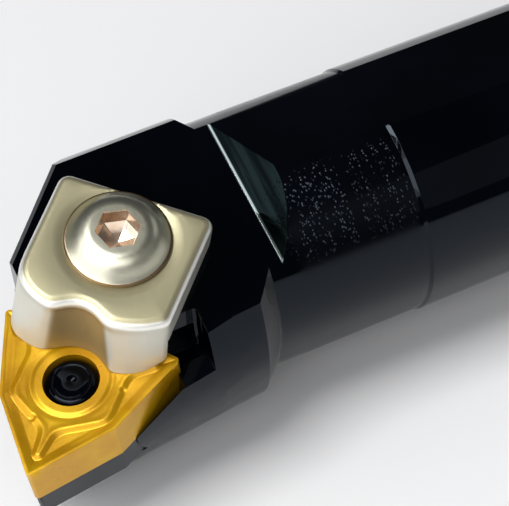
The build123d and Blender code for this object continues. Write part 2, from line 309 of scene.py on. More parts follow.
@dataclass(frozen=True)
class BlackedSteel(Finish):
    """Oiled black oxide over ground, turned and milled steel, with painted glints on the neck's scuffs and
    painted reflections on the seat's wall.
    """

    name: str = "black_oxide_steel"
    deep: Colour = (0.0002, 0.0003, 0.0008)
    worn: Colour = (0.0008, 0.0012, 0.003)
    # painted glint: colour of the neck's scuffs where light catches them
    glint: Colour = (0.05, 0.062, 0.085)
    tint: Colour = (0.72, 0.84, 1.0)
    shine: float = 0.27
    polish: float = 0.03
    cloud_scale: float = 90.0
    fine_scale: float = 1500.0
    radius: float = 12.5
    neck: Pair = (-171.6, -158.0)
    neck_fade: Pair = (2.0, 0.6)
    neck_roughness: float = 0.14
    wall_normal: Triple = (-0.7254, -0.2298, 0.6489)
    wall_offset: float = 131.229
    wall_down: Triple = (-0.6884, 0.2421, -0.6838)
    wall_foot: float = 111.598
    wall_metallic: float = 0.9
    # painted: the seat's wall dark, with lighter reflection streaks and a highlight line at its foot
    reflection_streak_dark: Colour = (0.001, 0.0025, 0.003)
    reflection_streak_light: Colour = (0.007, 0.013, 0.014)
    foot_highlight: Colour = (0.32, 0.38, 0.38)
    relief: float = 0.02 * MM

    def shade(self, recipe: Recipe) -> Wire:
        """Grows the black shader.

        Args:
            recipe: Tree that the nodes go into.

        Returns:
            The shader.
        """
        place = recipe.place()
        millimetres = recipe.node("ShaderNodeVectorMath", {"operation": "SCALE"}, {0: place, "Scale": 1 / MM})
        along, across, up = recipe.axes(millimetres)
        around = recipe.node("ShaderNodeMath", {"operation": "ARCTAN2"}, {0: across, 1: up})
        lay = recipe.node("ShaderNodeCombineXYZ", None, {0: along, 1: around * self.radius, 2: 0.0})
        (start, end), (fade_in, fade_out) = self.neck, self.neck_fade
        in_neck = along.step(start, start + fade_in) * (1 - along.step(end - fade_out, end))
        cloud = recipe.noise(place, self.cloud_scale, 3.0)
        fine = recipe.noise(place, self.fine_scale, 2.0)
        turned = recipe.noise(recipe.stretch(lay, (6.0, 0.25, 1.0)), 1.0, 2.0, 0.6)
        # scuffs on the neck, bumped and coloured with a painted glint
        glinting_scuffs = self.neck_scuff_glints(recipe, lay, around.size()) * in_neck
        colour = recipe.blend(cloud.step(0.35, 0.75), self.deep, self.worn)
        colour = recipe.blend(glinting_scuffs, colour, self.glint)
        # painted reflections and shade on the seat's wall
        colour, on_wall = self.seat_wall(recipe, millimetres, across, colour)
        dull = self.polish + cloud.step(0.3, 0.8) * 0.02
        sockets = {
            "Base Color": colour,
            "Metallic": on_wall * self.wall_metallic,
            "Roughness": dull + in_neck * self.neck_roughness + fine * 0.01,
            "Specular IOR Level": self.shine,
            "Specular Tint": (*self.tint, 1.0),
            "Normal": recipe.bump(turned * in_neck * 0.35 + glinting_scuffs + fine * 0.03, self.relief),
        }
        return recipe.node("ShaderNodeBsdfPrincipled", None, sockets)

    def neck_scuff_glints(self, recipe: Recipe, lay: Wire, turned: Wire) -> Wire:
        """Small scuffs in loose columns on the neck's sides, bumped and coloured with a painted glint.

        Args:
            recipe: Tree that the nodes go into.
            lay: Place on the unrolled neck, in millimetres.
            turned: Angle from the top, in radians.

        Returns:
            1 on a scuff and 0 elsewhere.
        """
        pits = recipe.cells(recipe.stretch(lay, (4.2, 2.6, 1.0)))
        columns = recipe.noise(recipe.stretch(lay, (1.5, 0.05, 1.0)), 1.0, 1.0, 0.5).step(0.36, 0.52)
        patches = recipe.noise(lay, 0.45, 3.0, 0.6).step(0.25, 0.5)
        # painted glints only in the band beside the flat where the light catches the neck
        beside_flat = turned.step(0.42, 0.5) * (1 - turned.step(0.95, 1.2))
        return (1 - pits.step(0.1, 0.36)) * columns * patches * beside_flat

    def seat_wall(self, recipe: Recipe, millimetres: Wire, across: Wire, colour: Wire) -> tuple[Wire, Wire]:
        """Painted reflection streaks on the milled wall behind the clamp's seat, which is painted dark, with
        a painted highlight line at its foot.

        Args:
            recipe: Tree that the nodes go into.
            millimetres: Place on the bar.
            across: Place across the bar.
            colour: Colour of the steel elsewhere.

        Returns:
            The colour with the wall's painted reflection streaks and highlight, and 1 on the wall.
        """
        off_wall = recipe.dot(millimetres, self.wall_normal) - self.wall_offset
        rise = self.wall_foot - recipe.dot(millimetres, self.wall_down)
        on_wall = (1 - off_wall.size().step(0.02, 0.08)) * rise.step(-0.1, 0.0)
        lay = recipe.node("ShaderNodeCombineXYZ", None, {0: rise, 1: across * 0.07, 2: 0.0})
        reflection_streaks = recipe.noise(lay, 0.9, 3.0, 0.6).step(0.42, 0.66)
        wall = recipe.blend(reflection_streaks, self.reflection_streak_dark, self.reflection_streak_light)
        # painted highlight along the wall's foot
        wall = recipe.blend(1 - rise.step(0.12, 0.3), wall, self.foot_highlight)
        return recipe.blend(on_wall, colour, wall), on_wall


@dataclass(frozen=True)
class GoldCoating(Finish):
    """Gold coloured hard coating over sintered carbide."""

    name: str = "gold_coated_carbide"
    bright: Colour = (0.7, 0.4, 0.004)
    warm: Colour = (0.58, 0.29, 0.004)
    metallic: float = 0.5
    roughness: float = 0.24
    drift_scale: float = 260.0
    grain_scale: float = 4200.0
    relief: float = 0.006 * MM

    def shade(self, recipe: Recipe) -> Wire:
        """Grows the gold shader.

        Args:
            recipe: Tree that the nodes go into.

        Returns:
            The shader.
        """
        place = recipe.place()
        drift = recipe.noise(place, self.drift_scale, 3.0)
        grain = recipe.noise(place, self.grain_scale, 2.0)
        sockets = {
            "Base Color": recipe.blend(drift.step(0.35, 0.7), self.warm, self.bright),
            "Metallic": self.metallic,
            "Roughness": self.roughness + drift * 0.1,
            "Normal": recipe.bump(grain + drift * 0.5, self.relief),
        }
        return recipe.node("ShaderNodeBsdfPrincipled", None, sockets)


@dataclass(frozen=True)
class BareMetal(Finish):
    """Metal with a fine satin or polished grain."""

    name: str = "satin_nickel"
    light: Colour = (0.7, 0.69, 0.6)
    dark: Colour = (0.62, 0.61, 0.52)
    roughness: float = 0.42
    metallic: float = 0.8
    spread: float = 0.08
    drift_scale: float = 180.0
    grain_scale: float = 2600.0
    relief: float = 0.004 * MM

    def shade(self, recipe: Recipe) -> Wire:
        """Grows the metal shader.

        Args:
            recipe: Tree that the nodes go into.

        Returns:
            The shader.
        """
        place = recipe.place()
        drift = recipe.noise(place, self.drift_scale, 3.0)
        grain = recipe.noise(place, self.grain_scale, 2.0)
        sockets = {
            "Base Color": self.tone(recipe, place, drift),
            "Metallic": self.metal(recipe, place),
            "Roughness": self.roughness + (grain - 0.5) * self.spread,
            "Normal": recipe.bump(grain, self.relief),
        }
        return recipe.node("ShaderNodeBsdfPrincipled", None, sockets)

    def metal(self, recipe: Recipe, place: Wire) -> Operand:
        """How metallic the surface is."""
        return self.metallic

    def tone(self, recipe: Recipe, place: Wire, drift: Wire) -> Wire:
        """Colour of the metal."""
        return recipe.blend(drift.step(0.3, 0.7), self.dark, self.light)


@dataclass(frozen=True)
class ClampMetal(BareMetal):
    """Satin nickel painted by place with light and shade: darker and warm on the clamp's top face, a white
    painted highlight on its rolled edge, pale on its sides and painted shade in the notch.
    """

    name: str = "clamp_nickel"
    # painted: the top face darker and warmer than the sides, by how light falls on it
    top: Colour = (0.5, 0.46, 0.29)
    light: Colour = (0.62, 0.61, 0.54)
    dark: Colour = (0.57, 0.56, 0.49)
    # painted highlight: the rolled edge white
    rolled: Colour = (0.97, 0.96, 0.9)
    shaded: Colour = (0.3, 0.22, 0.1)
    seat: Seat = Seat()
    notch: Notch = Notch()
    height: float = 8.7
    top_level: float = 3.189
    head_reach: Pair = (5.35, 5.5)
    side_metal: float = 0.3

    def spot(self, recipe: Recipe, place: Wire) -> tuple[Wire, Wire, Wire]:
        """Place on the clamp, in millimetres.

        Args:
            recipe: Tree that the nodes go into.
            place: Place in the frame.

        Returns:
            Along and across from the screw's axis, and height above the top face.
        """
        screw = Vector(self.seat.screw) * MM
        offset = recipe.node("ShaderNodeVectorMath", {"operation": "SUBTRACT"}, {0: place, 1: screw})
        along, across, up = (recipe.dot(offset, axis) / MM for axis in self.seat.axes())
        return along, across, up - self.top_level

    def tone(self, recipe: Recipe, place: Wire, drift: Wire) -> Wire:
        """Colour of the metal, by its place on the clamp, painted with light and shade: a darker warm top
        face, a white highlight on the rolled edge and shade in the notch.

        Args:
            recipe: Tree that the nodes go into.
            place: Place in the frame.
            drift: Slow noise.

        Returns:
            The colour.
        """
        along, across, level = self.spot(recipe, place)
        sides = recipe.blend(drift.step(0.3, 0.7), self.dark, self.light)
        # painted shade on the notch's wall
        sides = recipe.blend(self.in_notch(along, across, level), sides, self.shaded)
        # painted highlight on the rolled edge
        sides = recipe.blend(level.step(-0.75, -0.45), sides, self.rolled)
        past_head = ((along**2.0 + across**2.0) ** 0.5).step(*self.head_reach)
        # painted: the top face's darker, warmer tone
        return recipe.blend(1 - past_head * (1 - level.step(-0.2, -0.1)), sides, self.top)

    def in_notch(self, along: Wire, across: Wire, level: Wire) -> Wire:
        """Finds the wall of the notch between the feet, where painted shade goes.

        Args:
            along: Place along the clamp.
            across: Place across the clamp.
            level: Height above the top face.

        Returns:
            1 on the notch's wall, 0 elsewhere.
        """
        middle, radius = self.notch.circle(level / -self.height)
        reach = ((along - middle) ** 2.0 + (across - self.notch.across) ** 2.0) ** 0.5
        return (1 - (reach - radius).step(0.08, 0.4)) * (1 - level.step(-1.1, -0.8))

    def metal(self, recipe: Recipe, place: Wire) -> Operand:
        """How metallic the surface is: less on the sides than on the rolled edge and the top."""
        return self.spot(recipe, place)[2].step(-1.5, -0.9, self.side_metal, self.metallic)


@dataclass(frozen=True)
class PaleGround(Finish):
    """Pale matt floor."""

    name: str = "pale_floor"
    tone: Colour = (0.9, 0.9, 0.905)
    grey: Colour = (0.8, 0.8, 0.81)
    roughness: float = 0.9

    def shade(self, recipe: Recipe) -> Wire:
        """Grows the floor's shader.

        Args:
            recipe: Tree that the nodes go into.

        Returns:
            The shader.
        """
        paper = recipe.noise(recipe.place(), 9.0, 2.0)
        colour = recipe.blend(paper * 0.04, self.tone, self.grey)
        sockets = {"Base Color": colour, "Roughness": self.roughness}
        return recipe.node("ShaderNodeBsdfPrincipled", None, sockets)


class Piece:
    """Turns a worked bmesh, or a CAD node, into a dressed piece of the scene."""

    def __init__(self, frame: dict, body: Body, slot: Slot) -> None:
        """Remembers what the piece rides on and where its finish comes from."""
        self.frame = frame
        self.body = body
        self.slot = slot

    def copy_node(self, node: str) -> bmesh.types.BMesh:
        """Copies a CAD node's triangles, merged into one skin.

        Args:
            node: Name of the node.

        Returns:
            A bmesh in metres.
        """
        work = bmesh.new()
        work.from_mesh(self.frame["nodes"][node].data)
        bmesh.ops.remove_doubles(work, verts=work.verts, dist=2e-7)
        return work

    def finish(
        self,
        name: str,
        work: bmesh.types.BMesh,
        finishes: Iterable[Finish],
        stands_for: Iterable[str] = (),
        crease: float = 30.0,
        flat_faces: bool = False,
    ) -> bpy.types.Object:
        """Writes a bmesh to an object and sets it on its body.

        Args:
            name: Name of the object.
            work: The worked mesh, in metres; it is freed.
            finishes: Finishes in the order of the material indices.
            stands_for: CAD nodes that the piece replaces.
            crease: Angle in degrees past which an edge stays sharp.
            flat_faces: Keeps the shading of large faces flat beside narrow bevels.

        Returns:
            The object.
        """
        mesh = bpy.data.meshes.new(name)
        work.to_mesh(mesh)
        work.free()
        for finish in finishes:
            mesh.materials.append(finish.material())
        mesh.shade_smooth()
        mesh.set_sharp_from_angle(angle=math.radians(crease))
        made = bpy.data.objects.new(name, mesh)
        bpy.context.scene.collection.objects.link(made)
        if flat_faces:
            weigh = made.modifiers.new("flat_faces", "WEIGHTED_NORMAL")
            weigh.mode, weigh.weight, weigh.keep_sharp = "FACE_AREA", 100, True
        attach(made, self.body.value)
        if stands_for:
            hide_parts(*stands_for)
        LOG.info("%s: %d faces", name, len(mesh.polygons))
        return made


@dataclass
class Bar:
    """The one-piece steel bar with its edges broken."""

    frame: dict
    edge_break: float = 0.12 * MM
    crease: float = 24.0
    flatness: float = 0.6

    def build(self) -> None:
        """Builds the bar's skin and dresses it."""
        piece = Piece(self.frame, Body.BAR, Slot.STEEL)
        work = piece.copy_node("bar")
        flat, bend = math.radians(self.flatness), math.radians(self.crease)
        bmesh.ops.dissolve_limit(
            work, angle_limit=flat, verts=work.verts, edges=work.edges, delimit={"NORMAL"}
        )
        sharp = [e for e in work.edges if len(e.link_faces) == 2 and e.calc_face_angle(0) > bend]
        bmesh.ops.bevel(
            work,
            geom=sharp,
            offset=self.edge_break,
            segments=2,
            affect="EDGES",
            profile=0.5,
            clamp_overlap=True,
            material=-1,
        )
        piece.finish("bar_skin", work, [BlackedSteel()], ["bar"], flat_faces=True)


@dataclass
class Insert:
    """Six sided indexable insert with its pressed chip breaker."""

    frame: dict
    centre: Triple = (6.749 - 200.0, -10.776, 2.164)
    normal: Triple = (-0.1045, -0.2237, 0.9690)
    toward_nose: Triple = (-0.7154, -0.6599, -0.2295)
    inscribed: float = 6.35
    corner_angle: float = 80.0
    nose_radius: float = 0.4
    thickness: float = 4.76
    hone: float = 0.03
    hole_radius: float = 2.58
    land: float = 0.22
    slope: float = 0.95
    groove: float = 0.3
    island: float = 5.05
    wall: float = 0.5
    soften: float = 0.7
    finger_start: float = 4.3
    finger_end: float = 7.45
    finger_wide: float = 1.0
    finger_narrow: float = 0.66
    dent: Pair = (-0.58, 4.7)
    dent_width: float = 0.2
    dent_depth: float = 0.2
    ring_radius: float = 3.72
    ring_width: float = 0.24
    ring_depth: float = 0.06
    crest_inset: float = 0.6
    crest_width: float = 0.26
    crest_height: float = 0.04
    island_drop: float = 0.05
    collar_radius: float = 3.2
    collar_slope: float = 0.4
    columns: int = 540
    rows_across: int = 78
    rows_down: int = 6

    def placing(self) -> Matrix:
        """Turns the insert's own millimetres into the frame's metres.

        Returns:
            The placing matrix.
        """
        up = Vector(self.normal).normalized()
        nose = Vector(self.toward_nose)
        ahead = (nose - up * nose.dot(up)).normalized()
        turn = Matrix((ahead, up.cross(ahead), up)).transposed().to_4x4()
        return Matrix.Scale(MM, 4) @ Matrix.Translation(self.centre) @ turn

    def outline(self) -> list[Vector]:
        """Points round the insert's edge, close together round the three noses.

        Returns:
            One point for each column.
        """
        half = math.radians(self.corner_angle / 2)
        bend_reach = self.inscribed / math.sin(math.radians((240 - self.corner_angle) / 2))
        per_corner = self.columns // 3
        arc, side = per_corner // 6, per_corner - per_corner // 6
        middle = Vector(((self.inscribed - self.nose_radius) / math.sin(half), 0))
        sweep = math.pi / 2 - half
        first, last = (polar(angle, bend_reach) for angle in (-math.pi / 3, math.pi / 3))
        nose = [middle + polar(sweep * (2 * i / arc - 1), self.nose_radius) for i in range(arc + 1)]
        before = [first.lerp(nose[0], i / (side // 2)) for i in range(side // 2)]
        after = [nose[-1].lerp(last, (i + 1) / (side // 2)) for i in range(side // 2 - 1)]
        turns = [Matrix.Rotation(math.radians(120 * corner), 2) for corner in range(3)]
        return [turn @ point for turn in turns for point in before + nose + after]

    def height(self, spot: Vector) -> float:
        """Height of the rake face at a spot.

        Args:
            spot: Place on the face, from the hole's centre.

        Returns:
            Height in millimetres, never above the cutting edge.
        """
        lean = math.radians(90 - self.corner_angle / 2)
        ways = [math.radians(120 * corner) + side * lean for corner in range(3) for side in (1, -1)]
        to_edge = min(self.inscribed - spot.dot(polar(way)) for way in ways)
        away, dent = -math.inf, 0.0
        for side in range(6):
            away = softer_most(away, spot.dot(polar(math.radians(30 + 60 * side))) - self.island, self.soften)
        length = self.finger_end - self.finger_start
        for corner in range(3):
            local = Matrix.Rotation(math.radians(-120 * corner), 2) @ spot
            part = min(max((local.x - self.finger_start) / length, 0), 1)
            middle = Vector((self.finger_start + part * length, 0))
            radius = self.finger_wide + part * (self.finger_narrow - self.finger_wide)
            away = softer_least(away, (local - middle).length - radius, self.soften)
            dent += self.dent_depth * bell((local - Vector(self.dent)).length, self.dent_width)
        ground = -self.groove * smooth((to_edge - self.land) / self.slope)
        on_island = 1 - smooth((away + self.wall) / self.wall)
        ring = self.ring_depth * bell(spot.length - self.ring_radius, self.ring_width)
        crest = self.crest_height * bell(away + self.crest_inset, self.crest_width)
        collar = self.island_drop * (1 - smooth((spot.length - self.collar_radius) / self.collar_slope))
        top = min(-self.island_drop - ring + crest + collar, 0.0)
        return ground + (top - ground) * on_island - dent

    def build(self) -> None:
        """Builds the insert from one grid wrapped round its hole and dresses it."""
        piece = Piece(self.frame, Body.BAR, Slot.INSERT)
        rows = self.rows_across + 2 * self.rows_down + 1
        work = wrapped_grid([[self.wrap(edge, row) for row in range(rows)] for edge in self.outline()])
        bmesh.ops.transform(work, matrix=self.placing(), verts=work.verts)
        piece.finish("insert_body", work, [GoldCoating()], ["insert"], crease=35.0)

    def wrap(self, edge: Vector, row: int) -> Vector:
        """Place of one grid point: up the hole, across the rake face, down the side and back.

        Args:
            edge: Point of the outline that the column runs to.
            row: Row of the grid, counted from the hole's lower end.

        Returns:
            The place in the insert's own millimetres.
        """
        hole = edge.normalized() * self.hole_radius
        if row < self.rows_down:
            depth = self.thickness * (1 - row / self.rows_down)
            return Vector((*hole, -depth))
        row -= self.rows_down
        if row <= self.rows_across:
            spot = hole.lerp(edge, row / self.rows_across)
            if row == self.rows_across:
                spot = edge - edge.normalized() * self.hone
            return Vector((*spot, self.height(spot)))
        row -= self.rows_across
        if row < self.rows_down:
            depth = self.hone + (self.thickness - self.hone) * (row - 1) / (self.rows_down - 1)
            return Vector((*edge, -depth))
        return Vector((*edge, -self.thickness))


def polar(angle: float, radius: float = 1.0) -> Vector:
    """Flat vector at an angle."""
    return Vector((radius * math.cos(angle), radius * math.sin(angle)))


def bell(offset: float, width: float) -> float:
    """1 at no offset, falling smoothly to 0 past the width."""
    return math.exp(-((offset / width) ** 2))


def smooth(value: float) -> float:
    """Smooth step from 0 to 1."""
    value = min(max(value, 0.0), 1.0)
    return value * value * (3 - 2 * value)


def softer_least(first: float, second: float, reach: float) -> float:
    """The smaller of two lengths, blended where they are near each other.

    Args:
        first: One length.
        second: The other length.
        reach: Difference within which they blend.

    Returns:
        The smaller length, or a little less.
    """
    nearness = max(1 - abs(first - second) / reach, 0.0)
    return min(first, second) - nearness * nearness * reach / 4


def softer_most(first: float, second: float, reach: float) -> float:
    """The larger of two lengths, blended where they are within reach of each other."""
    return -softer_least(-first, -second, reach)


def off_outline(spot: Vector, corners: list[Vector]) -> float:
    """Distance of a spot from a convex outline.

    Args:
        spot: The spot.
        corners: Corners of the outline, clockwise.

    Returns:
        The distance, negative inside.
    """
    nearest, inside = math.inf, True
    for start, end in zip(corners, corners[1:] + corners[:1]):
        run, away = end - start, spot - start
        part = min(max(away.dot(run) / run.length_squared, 0.0), 1.0)
        nearest = min(nearest, (away - run * part).length)
        inside = inside and run.cross(away) < 0
    return -nearest if inside else nearest


def at_level(wall: list[Vector], level: float) -> Vector:
    """Finds the point of a wall line at one height.

    Args:
        wall: Points of the line, from its top down.
        level: The height.

    Returns:
        The point, or the line's end where it stops higher up.
    """
    for above, below in zip(wall, wall[1:]):
        if below.z <= level:
            return above.lerp(below, (above.z - level) / (above.z - below.z))
    return wall[-1].copy()


def wrapped_grid(rings: list[list[Vector]]) -> bmesh.types.BMesh:
    """Wraps a grid round a hole and back through it into one closed skin.

    Args:
        rings: Places of the grid's points, one list for each column round the hole.

    Returns:
        The skin.
    """
    columns, rows = len(rings), len(rings[0])
    work = bmesh.new()
    bmesh.ops.create_grid(work, x_segments=columns, y_segments=rows, size=0.5)
    for vertex in work.verts:
        column = round((vertex.co.x + 0.5) * columns) % columns
        row = round((vertex.co.y + 0.5) * rows) % rows
        vertex.co = rings[column][row]
    bmesh.ops.remove_doubles(work, verts=work.verts, dist=MERGE)
    bmesh.ops.recalc_face_normals(work, faces=work.faces)
    return work


def spin_outline(work: bmesh.types.BMesh, outline: Iterable[Pair], steps: int) -> None:
    """Spins a radius and height outline round the upright axis into a closed skin.

    Args:
        work: Mesh that the skin goes into.
        outline: Radii and heights, from the axis or a hole and back.
        steps: Number of steps round.
    """
    dots = [work.verts.new((radius, 0, height)) for radius, height in outline]
    lines = [work.edges.new(pair) for pair in zip(dots, dots[1:])]
    bmesh.ops.spin(
        work, geom=dots + lines, cent=(0, 0, 0), axis=(0, 0, 1), angle=math.tau, steps=steps, use_merge=True
    )
    bmesh.ops.remove_doubles(work, verts=work.verts, dist=MERGE)
    bmesh.ops.recalc_face_normals(work, faces=work.faces)


@dataclass
class Clamp:
    """Top clamp with a square heel, two rounded feet and a rolled upper edge."""

    frame: dict
    insert: Insert
    seat: Seat = Seat()
    notch: Notch = Notch()
    thickness: float = 3.2
    foot_depth: float = 5.5
    lowest: float = 6.6
    edge_radius: float = 0.8
    edge_steps: int = 8
    wall_levels: int = 15
    wall_rows: int = 14
    spot_radius: float = 5.9
    spot_depth: float = 0.03
    recess_radius: float = 4.95
    recess_depth: float = 0.16
    cut_edge: float = 0.3
    hole_radius: float = 2.75
    foot_gap: float = 0.35
    foot_angles: Pair = (170.0, 190.0)
    clearance: float = 0.02
    corner_radius: float = 1.1
    sharp_corners: int = 3
    longest_cut: float = 0.8
    notch_blend: float = 0.9
    front_spacing: float = 0.072
    other_spacing: float = 0.168
    corner_rays: int = 33
    first_reach: float = 3.0
    settling: int = 12
    foot_passes: int = 4
    inner_share: float = 0.6
    fold: float = 0.999
    inner_box: tuple[float, float, float, float] = (-1.5, 5.2, -3.4, 3.4)
    top: tuple[Pair, ...] = (
        (-4.75, -7.2), (-5.2, 7.4), (6.1, 7.1), (7.2, 5.3), (7.95, 3.1),
        (8.3, -2.9), (7.85, -4.7), (6.9, -6.3), (5.4, -7.2),
    )
    foot: tuple[Pair, ...] = (
        (-4.75, -7.2), (-5.2, 7.0), (7.2, 7.3), (9.3, 6.0), (10.1, 3.6),
        (9.35, -3.3), (9.1, -5.2), (8.3, -7.0), (6.6, -7.9),
    )
    to_insert: Matrix = field(init=False)

    def __post_init__(self) -> None:
        """Works out the way from the clamp's own millimetres to the insert's."""
        self.to_insert = self.insert.placing().inverted() @ self.seat.placing()

    def down(self, level: float) -> float:
        """Share of the way from the top face to the feet."""
        return (self.thickness - level) / (self.thickness + self.foot_depth)

    def eased(self, corners: list[Vector]) -> list[Vector]:
        """Cuts the corners in front twice, so that they run as a curve.

        Args:
            corners: Corners of an outline, the sharp ones first.

        Returns:
            The sharp corners and the cut ones.
        """
        for _ in range(2):
            cut = corners[:self.sharp_corners]
            for index in range(self.sharp_corners, len(corners)):
                corner = corners[index]
                for near in (corners[index - 1], corners[(index + 1) % len(corners)]):
                    way = near - corner
                    cut.append(corner + way.normalized() * min(way.length / 4, self.longest_cut))
            corners = cut
        return corners

    def core(self, level: float) -> list[Vector]:
        """Outline at one height, drawn in by the radius of its corners.

        Args:
            level: Height above the seat.

        Returns:
            Its corners.
        """
        down = self.down(level)
        corners = self.eased([Vector(high).lerp(Vector(low), down) for high, low in zip(self.top, self.foot)])
        drawn_in = []
        for before, corner, after in zip(corners[-1:] + corners[:-1], corners, corners[1:] + corners[:1]):
            first, second = (before - corner).normalized(), (after - corner).normalized()
            reach = self.corner_radius / math.sin(first.angle(second) / 2)
            drawn_in.append(corner + (first + second).normalized() * reach)
        return drawn_in

    def outside(self, spot: Vector, level: float, core: list[Vector]) -> float:
        """Distance of a spot from the clamp's wall at one height, notch included.

        Args:
            spot: Place along and across the clamp.
            level: The height.
            core: The drawn-in outline at that height.

        Returns:
            The distance, negative inside.
        """
        middle, radius = self.notch.circle(self.down(level))
        in_notch = radius - (spot - Vector((middle, self.notch.across))).length
        return softer_most(off_outline(spot, core) - self.corner_radius, in_notch, self.notch_blend)

    def rays(self) -> list[tuple[Vector, Vector]]:
        """Lines that run out to the clamp's wall, in order round it.

        Returns:
            Their starts and directions.
        """
        low, high, left, right = self.inner_box
        corners = [Vector((high, left)), Vector((high, right)), Vector((low, right)), Vector((low, left))]
        rays, square = [], math.pi / 2
        for index, start in enumerate(corners):
            end = corners[(index + 1) % 4]
            steps = round((end - start).length / (self.other_spacing if index else self.front_spacing))
            rays += [(start.lerp(end, k / steps), polar(square * index)) for k in range(steps)]
            rays += [(end, polar(square * (index + k / self.corner_rays))) for k in range(self.corner_rays)]
        return rays

    def rake_height(self, spot: Vector) -> float:
        """Height on the seat at which the insert's rake face lies under a spot."""
        low, high = ((self.to_insert @ Vector((*spot, h))).z for h in (0.0, 1.0))
        return -low / (high - low)

    def over_insert(self, spot: Vector) -> float:
        """Finds how far a spot is behind the line where the feet begin.

        Args:
            spot: Place along and across the clamp.

        Returns:
            The distance, negative over the insert.
        """
        on_rake = (self.to_insert @ Vector((*spot, self.rake_height(spot)))).xy
        behind = max(on_rake.dot(polar(math.radians(angle))) for angle in self.foot_angles)
        return behind - self.insert.inscribed + self.foot_gap

    def foot_level(self, spot: Vector) -> float:
        """Height of a foot's sole: just clear of the rake face, and never above the seat."""
        return min(self.rake_height(spot) + self.clearance, 0.0)

    def cut_level(self, spot: Vector, level: float) -> Vector:
        """Lowers a point of the upper skin into the shallow round seat of the screw's head.

        Args:
            spot: Place along and across the clamp.
            level: Its height before the cut.

        Returns:
            The place after the cut.
        """
        cuts = ((self.spot_radius, self.spot_depth), (self.recess_radius, self.recess_depth))
        depth = sum(deep * (1 - smooth((spot.length - radius) / self.cut_edge)) for radius, deep in cuts)
        return Vector((*spot, min(level, self.thickness - depth)))

    def skin(self, start: Vector, ahead: Vector, levels: list[Level]) -> list[Vector]:
        """Follows one line out to the skin at every height.

        Args:
            start: Start of the line.
            ahead: Its direction.
            levels: Height, distance in from the wall and drawn-in outline of each level, from the top.

        Returns:
            Points of the skin, from the top.
        """
        reach, skin = self.first_reach, []
        for level, inset, core in levels:
            for _ in range(self.settling):
                reach -= self.outside(start + ahead * reach, level, core) + inset
            skin.append(Vector((*(start + ahead * reach), level)))
        return skin

    def column(self, skin: list[Vector]) -> list[Vector]:
        """One upright ring through the clamp: top, rolled edge, side, underside and hole.

        Args:
            skin: Points of the outer skin, from the top.

        Returns:
            Places in the clamp's own millimetres.
        """
        edge = skin[0].xy
        outward = edge.normalized()
        steps = [r + d for r in (self.recess_radius, self.spot_radius) for d in (0.0, self.cut_edge)]
        rings = [self.hole_radius] + [min(r, edge.length - 0.05 + 0.01 * i) for i, r in enumerate(steps)]
        edge_foot = self.thickness - self.edge_radius
        path = [self.cut_level(outward * radius, self.thickness) for radius in rings]
        path += [self.cut_level(p.xy, p.z) for p in skin if p.z >= edge_foot]
        wall = [p for p in skin if p.z < edge_foot + 1e-6]
        low = 0.0
        bottom = at_level(wall, low)
        over = self.over_insert(bottom.xy) < 0
        if over:
            for _ in range(self.foot_passes):
                low = self.foot_level(bottom.xy)
                bottom = at_level(wall, low)
        high, rows = wall[0].z, self.wall_rows
        path += [at_level(wall, high + (low - high) * i / rows) for i in range(1, rows + 1)]
        turn = self.underside_turn(bottom.xy, over)
        path.append(Vector((*turn, self.foot_level(turn) if over else 0.0)))
        path.append(Vector((*(turn * self.fold), 0.0)))
        path.append(Vector((*(outward * self.hole_radius), 0.0)))
        return path

    def underside_turn(self, bottom: Vector, over: bool) -> Vector:
        """Finds where the underside steps up from a foot.

        Args:
            bottom: Lower end of the side.
            over: Whether the side ends on a foot.

        Returns:
            The step's place, or a spot under the plate where there is no foot.
        """
        if not over:
            return bottom.normalized() * max(bottom.length * self.inner_share, self.hole_radius + 0.1)
        near, far = 0.0, 1.0
        for _ in range(self.settling):
            share = (near + far) / 2
            near, far = (share, far) if self.over_insert(bottom * (1 - share)) < 0 else (near, share)
        return bottom * (1 - near)

    def build(self) -> None:
        """Builds the clamp from one grid wrapped round its hole and dresses it."""
        piece = Piece(self.frame, Body.CLAMP, Slot.CLAMP)
        radius, count = self.edge_radius, self.wall_levels
        roll = [math.pi / 2 * i / self.edge_steps for i in range(self.edge_steps + 1)]
        levels = [(self.thickness - radius * (1 - math.cos(a)), radius * (1 - math.sin(a))) for a in roll]
        high = levels[-1][0]
        levels += [(high - (high + self.lowest) * i / count, 0.0) for i in range(1, count + 1)]
        levels = [(level, inset, self.core(level)) for level, inset in levels]
        work = wrapped_grid([self.column(self.skin(start, ahead, levels)) for start, ahead in self.rays()])
        bmesh.ops.transform(work, matrix=self.seat.placing(), verts=work.verts)
        metal = ClampMetal(seat=self.seat, notch=self.notch)
        piece.finish("clamp_body", work, [metal], ["clamp"], crease=40.0)


